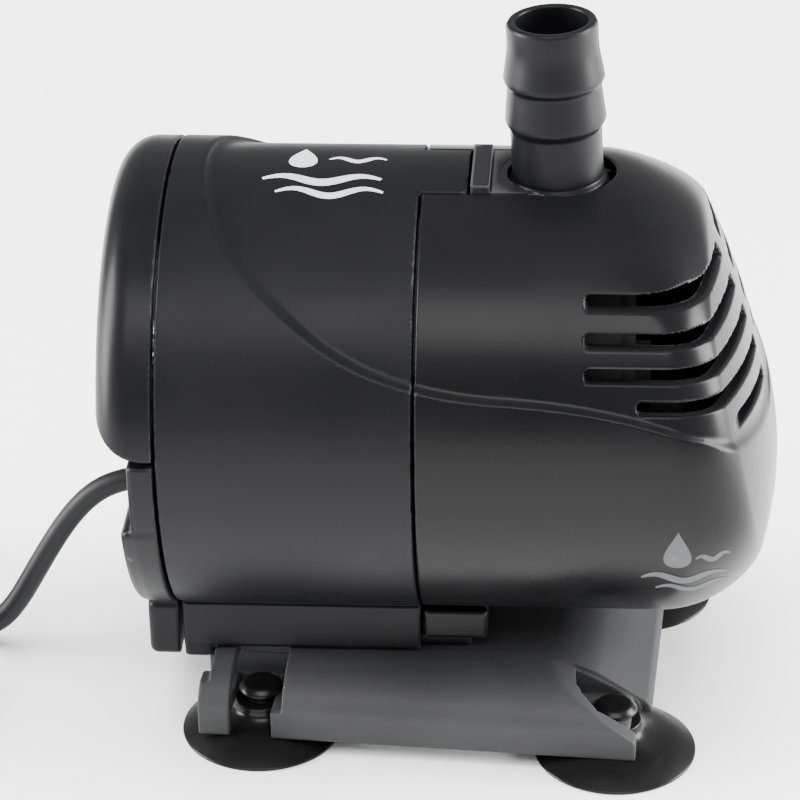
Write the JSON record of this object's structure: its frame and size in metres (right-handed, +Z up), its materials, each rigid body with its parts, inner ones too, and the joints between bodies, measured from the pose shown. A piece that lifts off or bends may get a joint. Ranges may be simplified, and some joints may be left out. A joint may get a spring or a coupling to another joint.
{
  "type": "submersible aquarium pump",
  "caption": "Submersible magnetic-drive aquarium pump with an upright barbed outlet, a slotted strainer cover, and a slide-off bracket on suction cups.",
  "frame": {"origin": "on the floor under the middle of the pump, leaving out the free cable", "axes": "+X towards the strainer front along the motor axis, +Z up along the outlet, +Y across the body"},
  "size_m": [0.2274, 0.0995, 0.1287],
  "materials": {
    "housing": "fine spark-eroded satin black",
    "cap": "smooth satin black",
    "cover": "smooth glossy black",
    "inner_plastic": "satin black",
    "core_steel": "laminated edges",
    "bobbin": "natural",
    "copper": "enamelled wire",
    "resin": "cast resin",
    "ceramic": "ground",
    "magnet": "overmoulded ferrite",
    "impeller_plastic": "light grey",
    "seal": "smooth",
    "steel": "stainless",
    "barb": "satin black",
    "bracket": "matte charcoal",
    "cups": "glossy soft rubber",
    "cable": "matte jacket",
    "tie": "plain",
    "plug": "satin black",
    "pins": "plated"
  },
  "bodies": {
    "motor": {"motor_housing": "housing", "rear_cap": "cap", "cable_cover": "housing", "rotor_well": "inner_plastic", "stator_core": "core_steel", "coil_bobbins": "bobbin", "coil_windings": "copper", "potting": "resin", "rear_bushing": "ceramic", "rotor_shaft": "ceramic", "front_bushing": "ceramic", "pump_chamber": "inner_plastic", "chamber_seal": "seal", "chamber_lid": "inner_plastic", "chamber_screws": "steel", "hose_barb": "barb", "barb_seal": "seal", "cable_gland": "seal", "cable_lead": "cable", "cable_coil": "cable", "cable_tail": "cable", "coil_tie": "tie", "plug_body": "plug", "plug_pins": "pins"},
    "rotor": {"magnet_rotor": "magnet"},
    "impeller": {"impeller": "impeller_plastic"},
    "cover": {"strainer_cover": "cover"},
    "bracket": {"bracket": "bracket", "cup_rear_near": "cups", "cup_rear_far": "cups", "cup_front_near": "cups", "cup_front_far": "cups"}
  },
  "joints": [
    {"name": "rotor_spin", "type": "hinge", "parent": "motor", "child": "rotor", "pos_m": [-0.018, 0, 0.0608], "axis": [1, 0, 0], "continuous": true},
    {"name": "impeller_play", "type": "hinge", "parent": "rotor", "child": "impeller", "pos_m": [0.012, 0, 0.0608], "axis": [1, 0, 0], "range_deg": [-135, 135]},
    {"name": "cover_slide", "type": "slide", "parent": "motor", "child": "cover", "axis": [1, 0, 0], "range_m": [0, 0.065]},
    {"name": "bracket_slide", "type": "slide", "parent": "motor", "child": "bracket", "axis": [1, 0, 0], "range_m": [0, 0.045]}
  ]
}
